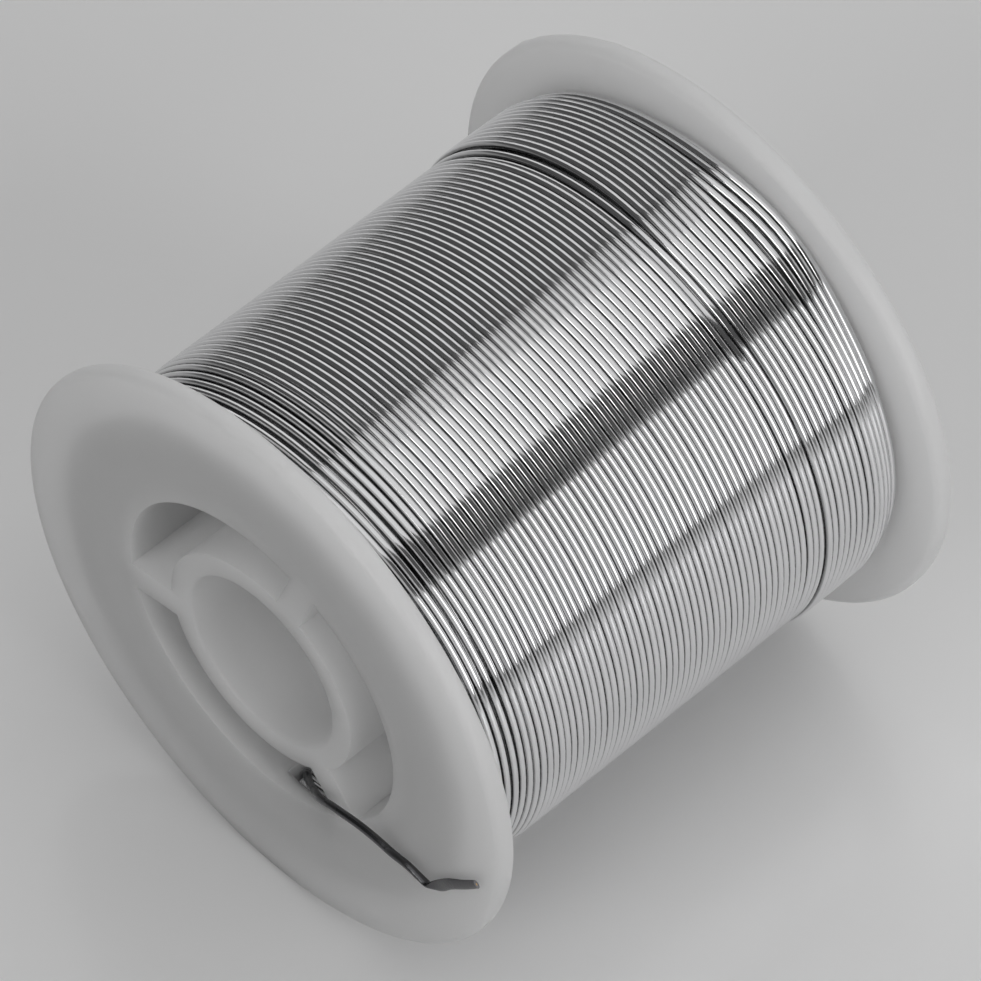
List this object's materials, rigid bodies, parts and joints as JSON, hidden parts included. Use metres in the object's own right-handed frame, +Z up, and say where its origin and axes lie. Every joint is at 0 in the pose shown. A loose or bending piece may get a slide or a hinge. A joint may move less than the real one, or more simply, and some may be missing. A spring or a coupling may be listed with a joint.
{
  "type": "solder wire spool",
  "caption": "Flanged plastic spool wound with flux-cored solder wire, its inner end led out through a window in the hub and laid across one flange.",
  "frame": {"origin": "on the surface that the spool lies on, under the middle of its axis", "axes": "+Y along the spool's axis, from the flange with the wire's tail to the other flange; +Z up; +X to the right when the tail's side is faced"},
  "size_m": [0.066, 0.0629, 0.066],
  "materials": {
    "natural_plastic": "natural translucent polypropylene, semi-matt, off-white",
    "wound_solder": "tin-lead solder wire, shaded between the turns",
    "solder_wire": "bright drawn tin-lead solder wire",
    "flux": "amber rosin"
  },
  "bodies": {
    "root": {"spool_moulding": "natural_plastic", "inner_layers": "wound_solder", "outer_layer": "solder_wire", "wire_tail": "solder_wire", "flux_core": "flux"}
  },
  "joints": []
}
